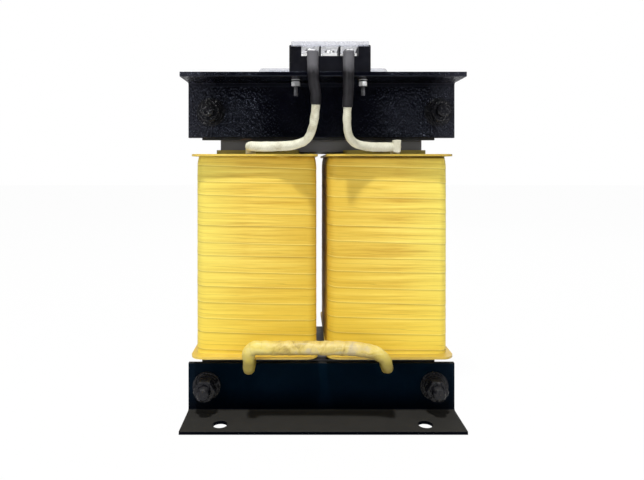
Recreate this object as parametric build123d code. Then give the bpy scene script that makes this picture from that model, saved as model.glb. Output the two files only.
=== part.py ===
from build123d import *
import math
import os

# A single-phase dry type transformer with an open core. Millimetres.
# The origin is the middle of the footprint on the ground, +Z is up, and the
# front, which carries the three-pole terminal block, faces -Y.

# ---- Core: two limbs and two yokes of interleaved lamination packs ----
STACK = 100.0  # thickness of the lamination stack, along Y
LIMB_WIDTH = 76.0
LIMB_X = 64.2  # middle of each limb
YOKE_HEIGHT = 52.0
CORE_BOTTOM = 1.0  # the core hangs clear of the ground
WINDOW_HEIGHT = 208.0
PACK_COUNT = 21  # lamination packs, odd, so that both outer packs are alike

# ---- Clamping frame: four angle bars, packing strips and four bolts ----
ANGLE_LENGTH = 266.0
WEB_THICK = 4.0
LOWER_WEB = 50.0
LOWER_LEG = 47.8
LOWER_FLANGE = 3.0  # thickness of the flanges that stand on the ground
UPPER_FRONT_WEB = 59.4
UPPER_REAR_WEB = 50.0
UPPER_LEG = 44.0
UPPER_FLANGE = 4.4
FRAME_TOP = 334.4  # top of the upper flanges
ROOT_RADIUS = 2.5
TOE_RADIUS = 1.1
STRIP_THICK = 6.0
STRIP_LENGTH = 234.0
STRIP_X = -3.0  # the strips sit a little to the left
STRIP_LIP = 2.0  # how far a strip shows past the edge of its web
STRIP_FOOT = 3.0  # how far a strip ends short of the outer edge of its angle bar
FOOT_HOLE_X = 97.0
FOOT_HOLE_Y = 90.0
FOOT_HOLE_R = 7.0

# ---- Clamp bolts, M12, insulated from the frame ----
# Each frame has two. The pairs are set off to one side, as on the real frame.
LOWER_BOLTS = ((-114.6, 27.3), (112.4, 27.3))  # X and Z
UPPER_BOLTS = ((-110.4, 300.6), (116.6, 300.6))
BOLT_R = 6.0
BOLT_REACH = 24.0  # from the face of the web to the end of the thread
BOLT_SLEEVE_R = 7.2
BOLT_HOLE_R = 7.4
RUNNING_GAP = 0.15  # radial play of washers, nuts and sleeves on their bolts
FIBRE_WASHER = (14.0, 2.0)  # outer radius and thickness
STEEL_WASHER = (12.0, 2.2)
SPRING_WASHER = (10.4, 2.8)
NUT_FLATS = 19.0
NUT_HEIGHT = 9.6
HEAD_HEIGHT = 7.5

# ---- Coils ----
FORMER_WALL = 4.0
FORMER_RIM = 263.0  # top of the former where it stands in front of the yoke
FORMER_PLAY = 1.2  # gap between the top of the former and the upper yoke
BOARD_OUTWARD = 62.8  # from the middle of a limb to the board's outer edge
BOARD_INWARD = 60.2  # and to the edge beside the other coil
BOARD_DEPTH = 168.0
BOARD_THICK = 2.0
BOARD_CORNER = 12.0
LOWER_BOARD_Z = 62.0
UPPER_BOARD_Z = 256.5
WINDING_MARGIN = 2.0  # from a board to the first turn
# Half width, half depth and corner radius of each layer's outside.
FORMER_OUT = (LIMB_WIDTH / 2 + FORMER_WALL, STACK / 2 + FORMER_WALL, 4.0)
INNER_WINDING_OUT = (48.0, 62.0, 4.5)
BARRIER_OUT = (49.0, 63.2, 5.0)
OUTER_WINDING_OUT = (56.9, 71.0, 8.5)
WRAP_OUT = (58.4, 72.6, 10.0)
WRAP_CROWN = (0.8, 2.0)  # bulge of the sides that face X and Y
TAPE_PITCH = 14.8
TAPE_LAP = 0.5  # how far the edge of a course stands over the one below

# ---- Terminal blocks ----
FRONT_BLOCK_X = 6.5
FRONT_BLOCK = dict(length=76.0, depth=32.0, height=25.4, poles=3, pitch=18.2, slot=17.0)
REAR_BLOCK_X = 7.2
REAR_BLOCK = dict(length=158.0, depth=34.0, height=25.6, poles=6, pitch=22.0, slot=20.4)
BLOCK_FRONT_GAP = 2.3  # from the edge of the flange to the face of the block
SLOT_DEPTH = 10.4
BAR_THICK = 3.0
BAR_PLAY = 3.4  # how much narrower a bar is than its slot
BAR_INSET = 1.7  # from the face of the block to the end of a bar
SCREW_INSET = 9.5  # from the face of the block to the row of screws
MOUNT_INSET = 11.5  # from the face of the block to the mounting screws
MOUNT_FROM_END = 6.0  # from the end of the block to the mounting screws
TERMINAL_SCREW_R = 2.5
TERMINAL_HEAD = (4.6, 3.0)
CLAMP_PLATE = (9.4, 1.2)
MOUNT_SCREW_R = 2.0
MOUNT_SEAT = 12.0  # height of the shoulder under a mounting screw's head
MOUNT_HEAD = (3.9, 2.8)
MOUNT_WASHER = (4.4, 1.2)
MOUNT_SPRING = (3.9, 1.5)
MOUNT_NUT = (7.4, 4.4)  # across flats and height
MOUNT_TIP_Z = 313.8

# ---- Leads and jumper: formed conductors ----
CONDUCTOR_R = 2.5
SLEEVE_R = 4.15
SHRINK_R = 5.25
LAYER_GAP = 0.05  # between a conductor and what is drawn over it
LUG_THICK = 1.2
LUG_EYE_R = 4.8
LUG_TONGUE_HALF = 3.0
LUG_BARREL_R = 3.5
LUG_BARREL = 12.0  # length of the barrel
LUG_BORE = 10.0  # depth of its bore, which is open below
LUG_DROP = 13.0  # from the top of the bar down to the open end of the barrel
LUG_LEAN = 1.8  # the barrels are bent this far towards the middle of the block
SHRINK_LAP = 12.7  # how far the heat-shrink comes up over the barrel
LEAD_Y = -107.0  # the leads hang just in front of the upper flange
LEAD_RUN_Y = -79.2  # and come to lie over the front of the end boards
LEAD_ENTRY_Y = -67.1  # where leads and jumper go through the end boards
LEFT_ENTRY_X = -70.0
RIGHT_ENTRY_X = 72.4
JUMPER_LEFT_X = -69.6
JUMPER_RIGHT_X = 61.2
JUMPER_Y = -94.0
JUMPER_RUN_Z = 76.5
JUMPER_LEG_Z = 55.2
JUMPER_R = 6.6
JUMPER_LEG_R = 5.4
JUMPER_CORE_R = 3.4

# ---- Derived ----
LOWER_YOKE_TOP = CORE_BOTTOM + YOKE_HEIGHT
UPPER_YOKE_BOTTOM = LOWER_YOKE_TOP + WINDOW_HEIGHT
CORE_TOP = UPPER_YOKE_BOTTOM + YOKE_HEIGHT
WEB_BACK = STACK / 2 + STRIP_THICK
WEB_FACE = WEB_BACK + WEB_THICK
UPPER_FLANGE_EDGE = WEB_BACK + UPPER_LEG
WRAP_BOTTOM = LOWER_BOARD_Z + BOARD_THICK
WRAP_HEIGHT = UPPER_BOARD_Z - WRAP_BOTTOM
BLOCK_FACE = UPPER_FLANGE_EDGE - BLOCK_FRONT_GAP
BAR_TOP = FRAME_TOP + FRONT_BLOCK["height"] - SLOT_DEPTH + BAR_THICK
SCREW_Y = BLOCK_FACE - SCREW_INSET
SIDES = {"left": -1, "right": 1}
ON_GROUND = (Align.CENTER, Align.CENTER, Align.MIN)


def save(node, shape):
    """Write one sub-part, or a group of like pieces, as its own file."""
    if isinstance(shape, list):
        shape = Compound(children=shape)
    shape.label = node
    export_step(shape, f"parts/{node}.step")


def along_y(shape, x, y, z):
    """Stand a shape that was made up the Z axis on a point, pointing to -Y."""
    return Pos(x, y, z) * Rot(90, 0, 0) * shape


def ring(outer, inner, height):
    return Cylinder(outer, height, align=ON_GROUND) - Cylinder(inner, height, align=ON_GROUND)


def rounded_plan(half_width, half_depth, corner):
    return RectangleRounded(2 * half_width, 2 * half_depth, corner)


def tube_along(points, radii, outer, inner=0.0):
    """A round rod or tube whose path is straight runs joined by tangent arcs."""
    path = FilletPolyline(*points, radius=radii)
    section = Circle(outer)
    if inner:
        section -= Circle(inner)
    return sweep(Plane(origin=path @ 0, z_dir=path % 0) * section, path=path)


# ---------------------------------------------------------------- core


def pack_spans(first):
    """Middle of every second lamination pack, starting with pack `first`."""
    thick = STACK / PACK_COUNT
    return [-STACK / 2 + (i + 0.5) * thick for i in range(first, PACK_COUNT, 2)]


def corner_tongues(x, bottom, first):
    """The ends of every second pack, where a limb and a yoke are lapped."""
    thick = STACK / PACK_COUNT
    tongue = Box(LIMB_WIDTH, thick, YOKE_HEIGHT, align=ON_GROUND)
    return [Pos(x, y, bottom) * tongue for y in pack_spans(first)]


def core_limb(x):
    body = Pos(x, 0, LOWER_YOKE_TOP) * Box(LIMB_WIDTH, STACK, WINDOW_HEIGHT, align=ON_GROUND)
    for bottom in (CORE_BOTTOM, UPPER_YOKE_BOTTOM):
        body += corner_tongues(x, bottom, first=1)
    return body


def core_yoke(bottom):
    between = 2 * LIMB_X - LIMB_WIDTH
    body = Pos(0, 0, bottom) * Box(between, STACK, YOKE_HEIGHT, align=ON_GROUND)
    for side in SIDES.values():
        body += corner_tongues(side * LIMB_X, bottom, first=0)
    return body


def make_core():
    for name, side in SIDES.items():
        save(f"core_{name}_limb", core_limb(side * LIMB_X))
    save("core_lower_yoke", core_yoke(CORE_BOTTOM))
    save("core_upper_yoke", core_yoke(UPPER_YOKE_BOTTOM))


# ---------------------------------------------------------------- coils


def former(side):
    """A tube on the limb. Its rim stands up in front of, behind and beside the yoke."""
    outside = rounded_plan(*FORMER_OUT)
    bore = Rectangle(LIMB_WIDTH, STACK)
    wall = outside - bore
    full = extrude(Pos(0, 0, LOWER_YOKE_TOP) * wall, FORMER_RIM - LOWER_YOKE_TOP)
    top = UPPER_YOKE_BOTTOM - FORMER_PLAY
    reach = FORMER_WALL + 1
    notch = Box(reach, STACK, FORMER_RIM - top, align=ON_GROUND)
    full -= Pos(-side * (LIMB_WIDTH / 2 + reach / 2), 0, top) * notch
    return Pos(side * LIMB_X, 0, 0) * full


def end_board(side, bottom, hole_x, hole_radius):
    """A flat board round the former, with a hole for the conductor that leaves the coil."""
    half_width = (BOARD_OUTWARD + BOARD_INWARD) / 2
    plan = rounded_plan(half_width, BOARD_DEPTH / 2, BOARD_CORNER)
    plan = Pos(side * (BOARD_OUTWARD - half_width), 0) * plan - rounded_plan(*FORMER_OUT)
    plan -= Pos(hole_x - side * LIMB_X, LEAD_ENTRY_Y) * Circle(hole_radius)
    return Pos(side * LIMB_X, 0, bottom) * extrude(plan, BOARD_THICK)


def layer(side, inside, outside, bottom, height):
    plan = rounded_plan(*outside) - rounded_plan(*inside)
    return Pos(side * LIMB_X, 0, bottom) * extrude(plan, height)


def crowned_plan(grow, z):
    """The outline of the taped coil at one height: four bulging sides and round corners."""
    w, d, corner = WRAP_OUT[0] + grow, WRAP_OUT[1] + grow, WRAP_OUT[2]
    bulge_x, bulge_y = WRAP_CROWN
    corners = [(-w, -d), (w, -d), (w, d), (-w, d)]
    middles = [(0, -d - bulge_y), (w + bulge_x, 0), (0, d + bulge_y), (-w - bulge_x, 0)]
    sides = [ThreePointArc(corners[i], middles[i], corners[(i + 1) % 4]) for i in range(4)]
    plan = make_face(sides)
    return Pos(0, 0, z) * fillet(plan.vertices(), corner)


def course_edges():
    """Heights of the lapped edges, a little uneven as hand-wound tape is."""
    count = round(WRAP_HEIGHT / TAPE_PITCH)
    even = WRAP_HEIGHT / count
    inner = [WRAP_BOTTOM + even * (i + 0.13 * math.sin(2.4 * i)) for i in range(1, count)]
    return [WRAP_BOTTOM, *inner, UPPER_BOARD_Z]


def coil_wrap(side):
    """Courses of tape. Each leans out to its lower edge, which laps the course below."""
    edges = course_edges()
    wrap = None
    for low, high in zip(edges, edges[1:]):
        course = loft([crowned_plan(TAPE_LAP, low), crowned_plan(0.0, high)], ruled=True)
        wrap = course if wrap is None else wrap + course
    core = extrude(Pos(0, 0, WRAP_BOTTOM) * rounded_plan(*OUTER_WINDING_OUT), WRAP_HEIGHT)
    return Pos(side * LIMB_X, 0, 0) * (wrap - core)


def make_coils():
    turns_bottom = WRAP_BOTTOM + WINDING_MARGIN
    turns_height = WRAP_HEIGHT - 2 * WINDING_MARGIN
    jumper_x = {"left": JUMPER_LEFT_X, "right": JUMPER_RIGHT_X}
    lead_x = {"left": LEFT_ENTRY_X, "right": RIGHT_ENTRY_X}
    for name, side in SIDES.items():
        save(f"{name}_former", former(side))
        lower = end_board(side, LOWER_BOARD_Z, jumper_x[name], JUMPER_LEG_R + 0.3)
        upper = end_board(side, UPPER_BOARD_Z, lead_x[name], SLEEVE_R + 0.4)
        save(f"{name}_lower_board", lower)
        save(f"{name}_upper_board", upper)
        inner = layer(side, FORMER_OUT, INNER_WINDING_OUT, turns_bottom, turns_height)
        barrier = layer(side, INNER_WINDING_OUT, BARRIER_OUT, WRAP_BOTTOM, WRAP_HEIGHT)
        outer = layer(side, BARRIER_OUT, OUTER_WINDING_OUT, turns_bottom, turns_height)
        save(f"{name}_inner_winding", inner)
        save(f"{name}_barrier", barrier)
        save(f"{name}_outer_winding", outer)
        save(f"{name}_coil_wrap", coil_wrap(side))


# ---------------------------------------------------------------- frame


def angle_profile(web, leg, flange):
    """Section of a front angle bar in Y and Z, with the flange at the bottom."""
    back, face, edge = -WEB_BACK, -WEB_FACE, -WEB_BACK - leg
    corners = [(back, 0), (back, web), (face, web), (face, flange), (edge, flange), (edge, 0)]
    section = make_face(Polyline(*corners, close=True))
    root = section.vertices().sort_by_distance(Vector(face, flange))[0]
    section = fillet(root, ROOT_RADIUS)
    for y, z in ((face, web), (edge, flange)):
        toe = section.vertices().sort_by_distance(Vector(y, z))[0]
        section = fillet(toe, TOE_RADIUS)
    return section


def cross_hole(x, z, radius):
    return along_y(Cylinder(radius, 2 * UPPER_FLANGE_EDGE), x, 0, z)


def angle_bar(web, leg, flange):
    return extrude(Plane.YZ * angle_profile(web, leg, flange), ANGLE_LENGTH / 2, both=True)


def lower_angle():
    bar = angle_bar(LOWER_WEB, LOWER_LEG, LOWER_FLANGE)
    for x, z in LOWER_BOLTS:
        bar -= cross_hole(x, z, BOLT_HOLE_R)
    for side in SIDES.values():
        bar -= Pos(side * FOOT_HOLE_X, -FOOT_HOLE_Y, 0) * Cylinder(FOOT_HOLE_R, 3 * LOWER_FLANGE)
    return bar


def upper_angle(web, block, block_x, side):
    """An angle with its flange on top, drilled for the terminal block on side -1 or +1."""
    bar = Pos(0, 0, FRAME_TOP) * mirror(angle_bar(web, UPPER_LEG, UPPER_FLANGE), Plane.XY)
    if side > 0:
        bar = mirror(bar, Plane.XZ)
    for x, z in UPPER_BOLTS:
        bar -= cross_hole(x, z, BOLT_HOLE_R)
    for x in mount_positions(block, block_x):
        drill = Cylinder(MOUNT_SCREW_R + 0.3, 3 * UPPER_FLANGE)
        bar -= Pos(x, side * (BLOCK_FACE - MOUNT_INSET), FRAME_TOP) * drill
    return bar


def packing_strip(bottom, top, bolts):
    """A board between core and web, with open slots at its ends for the bolts."""
    strip = Box(STRIP_LENGTH, STRIP_THICK, top - bottom, align=ON_GROUND)
    strip = Pos(STRIP_X, -STACK / 2 - STRIP_THICK / 2, bottom) * strip
    for x, z in bolts:
        strip -= cross_hole(x, z, BOLT_HOLE_R)
        mouth = Box(STRIP_LENGTH, 2 * STACK, 2 * BOLT_HOLE_R)
        strip -= Pos(x + math.copysign(STRIP_LENGTH / 2, x), 0, z) * mouth
    return strip


def make_frame():
    front = lower_angle()
    save("lower_front_angle", front)
    save("lower_rear_angle", mirror(front, Plane.XZ))
    save("upper_front_angle", upper_angle(UPPER_FRONT_WEB, FRONT_BLOCK, FRONT_BLOCK_X, -1))
    save("upper_rear_angle", upper_angle(UPPER_REAR_WEB, REAR_BLOCK, REAR_BLOCK_X, 1))
    lower = packing_strip(STRIP_FOOT, LOWER_WEB + STRIP_LIP, LOWER_BOLTS)
    save("lower_front_strip", lower)
    save("lower_rear_strip", mirror(lower, Plane.XZ))
    strip_top = FRAME_TOP - STRIP_FOOT
    front_strip = packing_strip(FRAME_TOP - UPPER_FRONT_WEB - STRIP_LIP, strip_top, UPPER_BOLTS)
    rear_strip = packing_strip(FRAME_TOP - UPPER_REAR_WEB - STRIP_LIP, strip_top, UPPER_BOLTS)
    save("upper_front_strip", front_strip)
    save("upper_rear_strip", mirror(rear_strip, Plane.XZ))


def hexagon(flats, height):
    """A hexagonal prism up the Z axis, with its outer corners turned off."""
    prism = extrude(RegularPolygon(flats / 2, 6, major_radius=False), height)
    across_corners = flats / math.sqrt(3)
    blank = Cylinder(across_corners, height, align=ON_GROUND)
    top = blank.edges().sort_by(Axis.Z)[-1]
    return prism & chamfer(top, 0.9 * (across_corners - flats / 2))


def nut(flats, height, radius):
    return hexagon(flats, height) - Cylinder(radius, 3 * height)


def split_washer(outer, inner, height):
    """A spring washer, cut through on a slant."""
    cut = Pos(outer, 0, height / 2) * Rot(30, 0, 0) * Box(2 * (outer - inner) + 2, 1.0, 4 * height)
    return ring(outer, inner, height) - cut


def make_clamp_bolts():
    """Each bolt has its head at the rear and its nut at the front."""
    bore = BOLT_R + RUNNING_GAP
    kinds = ("bolts", "sleeves", "fibre_washers", "steel_washers", "spring_washers", "nuts")
    groups = {kind: [] for kind in kinds}
    tip = -WEB_FACE - BOLT_REACH
    rear_seat = WEB_FACE + FIBRE_WASHER[1] + STEEL_WASHER[1]
    shank = Cylinder(BOLT_R, rear_seat - tip, align=ON_GROUND)
    shank = chamfer(shank.edges().sort_by(Axis.Z)[-1], 1.2)
    bolt = shank + Rot(180, 0, 0) * hexagon(NUT_FLATS, HEAD_HEIGHT)
    sleeve = ring(BOLT_SLEEVE_R, bore, 2 * WEB_FACE)
    fibre = ring(FIBRE_WASHER[0], bore, FIBRE_WASHER[1])
    steel = ring(STEEL_WASHER[0], bore, STEEL_WASHER[1])
    spring = split_washer(SPRING_WASHER[0], bore, SPRING_WASHER[1])
    steel_seat = -WEB_FACE - FIBRE_WASHER[1]
    spring_seat = steel_seat - STEEL_WASHER[1]
    nut_seat = spring_seat - SPRING_WASHER[1]
    for x, z in LOWER_BOLTS + UPPER_BOLTS:
        groups["bolts"].append(along_y(bolt, x, rear_seat, z))
        groups["sleeves"].append(along_y(sleeve, x, WEB_FACE, z))
        groups["fibre_washers"].append(along_y(fibre, x, -WEB_FACE, z))
        groups["fibre_washers"].append(along_y(fibre, x, WEB_FACE + FIBRE_WASHER[1], z))
        groups["steel_washers"].append(along_y(steel, x, steel_seat, z))
        groups["steel_washers"].append(along_y(steel, x, rear_seat, z))
        groups["spring_washers"].append(along_y(spring, x, spring_seat, z))
        groups["nuts"].append(along_y(nut(NUT_FLATS, NUT_HEIGHT, bore), x, nut_seat, z))
    for name, shapes in groups.items():
        save(f"clamp_{name}", shapes)


# ------------------------------------------------------- terminal blocks


def pole_positions(block, middle):
    first = middle - block["pitch"] * (block["poles"] - 1) / 2
    return [first + i * block["pitch"] for i in range(block["poles"])]


def mount_positions(block, middle):
    reach = block["length"] / 2 - MOUNT_FROM_END
    return [middle - reach, middle + reach]


def screw_rows(block):
    """Distances of the two rows of terminal screws from the face of the block."""
    return (SCREW_INSET, block["depth"] - SCREW_INSET)


def terminal_base(block, middle):
    """A moulded body, modelled with its face at Y = 0 and its foot at Z = 0."""
    depth, height, floor = block["depth"], block["height"], block["height"] - SLOT_DEPTH
    body = Box(block["length"], depth, height, align=(Align.CENTER, Align.MIN, Align.MIN))
    body = fillet(body.edges().filter_by(Axis.Z), 1.5)
    body = chamfer(body.faces().sort_by(Axis.Z)[-1].edges(), 0.6)
    for x in pole_positions(block, 0):
        body -= Pos(x, depth / 2, floor) * Box(block["slot"], 2 * depth, 2 * SLOT_DEPTH, align=ON_GROUND)
        for y in screw_rows(block):
            body -= Pos(x, y, floor) * Cylinder(TERMINAL_SCREW_R + 0.2, 16)
    for x in mount_positions(block, 0):
        body -= Pos(x, MOUNT_INSET, 0) * Cylinder(MOUNT_SCREW_R + 0.3, 3 * height)
        body -= Pos(x, MOUNT_INSET, MOUNT_SEAT) * Cylinder(MOUNT_HEAD[0] + 0.4, height, align=ON_GROUND)
    relief = Box(block["length"] - 4 * MOUNT_FROM_END, depth - 8, 3, align=ON_GROUND)
    return Pos(middle, 0, 0) * (body - Pos(0, depth / 2, -1) * relief)


def terminal_bars(block, middle):
    """A plated bar in each slot, with a hole for each of its two screws."""
    length = block["depth"] - 2 * BAR_INSET
    floor = block["height"] - SLOT_DEPTH
    bars = []
    for x in pole_positions(block, middle):
        bar = Box(block["slot"] - BAR_PLAY, length, BAR_THICK, align=ON_GROUND)
        bar = Pos(x, block["depth"] / 2, floor) * bar
        for y in screw_rows(block):
            bar -= Pos(x, y, floor) * Cylinder(TERMINAL_SCREW_R + 0.1, 4 * BAR_THICK)
        bars.append(bar)
    return bars


def terminal_screws(block, middle, lug_poles):
    """Clamp plates and slotted screws. Those on a lug sit higher by its thickness."""
    top = block["height"] - SLOT_DEPTH + BAR_THICK
    plates, screws = [], []
    for i, x in enumerate(pole_positions(block, middle)):
        for row, y in enumerate(screw_rows(block)):
            seat = top + (LUG_THICK if i in lug_poles and row == 0 else 0)
            size, thick = CLAMP_PLATE
            plate = Box(size, size, thick, align=ON_GROUND)
            plate -= Cylinder(TERMINAL_SCREW_R + 0.1, 4 * thick)
            plates.append(Pos(x, y, seat) * plate)
            head = Cylinder(*TERMINAL_HEAD, align=ON_GROUND)
            head = chamfer(head.edges().sort_by(Axis.Z)[-1], 0.8)
            head -= Pos(0, 0, TERMINAL_HEAD[1]) * Box(4 * TERMINAL_HEAD[0], 1.2, 2.4)
            shank = Pos(0, 0, -10) * Cylinder(TERMINAL_SCREW_R, 10, align=ON_GROUND)
            turn = Rot(0, 0, 37 * i + 61 * row)
            screws.append(Pos(x, y, seat + thick) * turn * (head + shank))
    return plates, screws


def flat_cover(block, middle):
    """A clear plate with a lip down both long sides and two pegs for the end holes."""
    length, depth, height = block["length"] - 3.4, block["depth"], block["height"]
    lip, drop, thick = 1.5, 1.7, 2.9
    slab = Box(length, depth + 2 * lip, thick + drop, align=ON_GROUND)
    slab = fillet(slab.edges().filter_by(Axis.Z), 2.0)
    cover = Pos(0, depth / 2, height - drop) * slab
    cover -= Pos(0, depth / 2, height - drop) * Box(2 * length, depth, drop, align=ON_GROUND)
    for x in mount_positions(block, 0):
        cover += Pos(x, MOUNT_INSET, height - 5) * Cylinder(MOUNT_HEAD[0], 5, align=ON_GROUND)
    return Pos(middle, 0, 0) * cover


def hood_cover(block, middle):
    """A clear hood with chamfered ends, open below, that stands on the block's rim."""
    length, depth, rise, wall = block["length"] + 1.0, block["depth"], 6.8, 2.0
    outside = Box(length, depth, rise, align=ON_GROUND)
    outside = chamfer(outside.edges().filter_by(Axis.Z), 5.0)
    ends = outside.faces().sort_by(Axis.Z)[-1].edges().filter_by(Axis.Y)
    outside = chamfer(ends, 2.5)
    hollow = Box(length - 4 * MOUNT_FROM_END, depth - 2 * wall, rise - wall, align=ON_GROUND)
    hood = Pos(0, depth / 2, block["height"]) * (outside - hollow)
    return Pos(middle, 0, 0) * hood


def mounting_hardware(block, middle):
    """Screws down through the block and flange, each with washers and a nut below."""
    bore = MOUNT_SCREW_R + 0.1
    tip = MOUNT_TIP_Z - FRAME_TOP
    shank = Pos(0, 0, tip) * Cylinder(MOUNT_SCREW_R, MOUNT_SEAT - tip, align=ON_GROUND)
    head = Pos(0, 0, MOUNT_SEAT) * Cylinder(*MOUNT_HEAD, align=ON_GROUND)
    head = chamfer(head.edges().sort_by(Axis.Z)[-1], 0.8)
    slot = Pos(0, 0, MOUNT_SEAT + MOUNT_HEAD[1]) * Box(4 * MOUNT_HEAD[0], 1.2, 2.2)
    flat_seat = -UPPER_FLANGE - MOUNT_WASHER[1]
    spring_seat = flat_seat - MOUNT_SPRING[1]
    nut_seat = spring_seat - MOUNT_NUT[1]
    flat = Pos(0, 0, flat_seat) * ring(MOUNT_WASHER[0], bore, MOUNT_WASHER[1])
    spring = Pos(0, 0, spring_seat) * split_washer(MOUNT_SPRING[0], bore, MOUNT_SPRING[1])
    turned = Pos(0, 0, nut_seat) * Rot(0, 0, 15) * nut(*MOUNT_NUT, bore)
    places = [Pos(x, MOUNT_INSET, 0) for x in mount_positions(block, middle)]
    screws = [place * (shank + head - slot) for place in places]
    washers = [place * washer for place in places for washer in (flat, spring)]
    nuts = [place * turned for place in places]
    return screws, washers, nuts


def make_terminal_block(name, block, middle, place, cover, lug_poles):
    plates, screws = terminal_screws(block, middle, lug_poles)
    mount_screws, mount_washers, mount_nuts = mounting_hardware(block, middle)
    groups = {
        "terminal_base": [terminal_base(block, middle)],
        "terminal_bars": terminal_bars(block, middle),
        "terminal_plates": plates,
        "terminal_screws": screws,
        "terminal_cover": [cover(block, middle)],
        "mounting_screws": mount_screws,
        "mounting_washers": mount_washers,
        "mounting_nuts": mount_nuts,
    }
    for part, shapes in groups.items():
        placed = [place * shape for shape in shapes]
        save(f"{name}_{part}", placed if len(placed) > 1 else placed[0])


def make_terminal_blocks():
    front = Pos(0, -BLOCK_FACE, FRAME_TOP)
    make_terminal_block("front", FRONT_BLOCK, FRONT_BLOCK_X, front, flat_cover, (0, 2))
    rear = Pos(0, BLOCK_FACE, FRAME_TOP) * Rot(0, 0, 180)
    make_terminal_block("rear", REAR_BLOCK, -REAR_BLOCK_X, rear, hood_cover, ())


# ------------------------------------------------------- leads and jumper


def along(start, end, share):
    """The point a given share of the way from one point to the next."""
    return tuple(a + share * (b - a) for a, b in zip(start, end))


def soft_radii(points):
    """For each corner, the largest bend that leaves a tenth of its shorter run straight."""
    radii = []
    for before, corner, after in zip(points, points[1:], points[2:]):
        arrive, leave = Vector(*corner) - Vector(*before), Vector(*after) - Vector(*corner)
        half_turn = math.radians(arrive.get_angle(leave)) / 2
        radii.append(0.45 * min(arrive.length, leave.length) / math.tan(half_turn))
    return radii


def lug(x, barrel_x):
    """A ring lug, bent down in front of the block into a barrel for the conductor."""
    low, front = BAR_TOP, LEAD_Y - LUG_THICK / 2
    eye = Pos(x, -SCREW_Y, low) * Cylinder(LUG_EYE_R, LUG_THICK, align=ON_GROUND)
    corners = [
        (-SCREW_Y, low),
        (-SCREW_Y, low + LUG_THICK),
        (front, low + LUG_THICK),
        (front, low - 2),
        (front + LUG_THICK, low - 2),
        (front + LUG_THICK, low),
    ]
    section = make_face(Polyline(*corners, close=True))
    outer = section.vertices().sort_by_distance(Vector(front, low + LUG_THICK))[0]
    middle = Plane.YZ.offset((x + barrel_x) / 2)
    tongue = extrude(middle * fillet(outer, LUG_THICK), LUG_TONGUE_HALF, both=True)
    open_end = Pos(barrel_x, LEAD_Y, low - LUG_DROP)
    barrel = open_end * Cylinder(LUG_BARREL_R, LUG_BARREL, align=ON_GROUND)
    bore = open_end * Cylinder(CONDUCTOR_R + LAYER_GAP, LUG_BORE, align=ON_GROUND)
    hole = Pos(x, -SCREW_Y, low) * Cylinder(TERMINAL_SCREW_R + 0.1, 4 * LUG_THICK)
    return eye + tongue + barrel - bore - hole


def make_lead(name, terminal_x, route, shrink_end):
    """A conductor from its lug to its winding, in a sleeve, with heat-shrink at the top."""
    radii = soft_radii(route)
    x = route[0][0]
    at_barrel = (x, LEAD_Y, BAR_TOP - LUG_DROP)
    into_board = (*route[-1][:2], UPPER_BOARD_Z)
    sleeve_route = [at_barrel, *route[1:-1], into_board]
    shrink_top = BAR_TOP - LUG_DROP + SHRINK_LAP
    shrink_route = [(x, LEAD_Y, shrink_top), *route[1:3], along(route[2], route[3], shrink_end)]
    sleeve_bore = CONDUCTOR_R + LAYER_GAP
    save(f"{name}_lead_lug", lug(terminal_x, x))
    save(f"{name}_lead_conductor", tube_along(route, radii, CONDUCTOR_R))
    save(f"{name}_lead_sleeve", tube_along(sleeve_route, radii, SLEEVE_R, sleeve_bore))
    shrink = tube_along(shrink_route, radii[:2], SHRINK_R, SLEEVE_R + LAYER_GAP)
    save(f"{name}_lead_heatshrink", shrink)
    print(name, "lead bends", [round(r, 1) for r in radii])


def make_leads():
    """Both leads hang from the outer slots, run back over the boards and turn down into them."""
    left_terminal, _, right_terminal = pole_positions(FRONT_BLOCK, FRONT_BLOCK_X)
    left_x, right_x = left_terminal + LUG_LEAN, right_terminal - LUG_LEAN
    conductor_top = BAR_TOP - LUG_DROP + LUG_BORE - 0.2
    turns_top = UPPER_BOARD_Z - WINDING_MARGIN
    left = [
        (left_x, LEAD_Y, conductor_top),
        (left_x, LEAD_Y, 328.0),
        (-6.6, -107.4, 312.0),
        (-7.2, -106.8, 299.0),
        (-9.2, -103.0, 283.5),
        (-14.0, -95.0, 271.2),
        (-27.0, -87.5, 266.4),
        (-50.0, -81.0, 265.6),
        (LEFT_ENTRY_X, LEAD_RUN_Y, 266.0),
        (LEFT_ENTRY_X, LEAD_ENTRY_Y, 266.0),
        (LEFT_ENTRY_X, LEAD_ENTRY_Y, turns_top),
    ]
    right = [
        (right_x, LEAD_Y, conductor_top),
        (right_x, LEAD_Y, 328.0),
        (22.6, -107.4, 312.0),
        (21.6, -106.8, 297.0),
        (21.6, -103.0, 283.5),
        (25.0, -95.0, 271.4),
        (36.0, -87.0, 265.8),
        (58.0, -81.0, 265.0),
        (RIGHT_ENTRY_X, LEAD_RUN_Y, 265.4),
        (RIGHT_ENTRY_X, LEAD_ENTRY_Y, 265.4),
        (RIGHT_ENTRY_X, LEAD_ENTRY_Y, turns_top),
    ]
    make_lead("left", left_terminal, left, 0.5)
    make_lead("right", right_terminal, right, 0.65)


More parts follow.
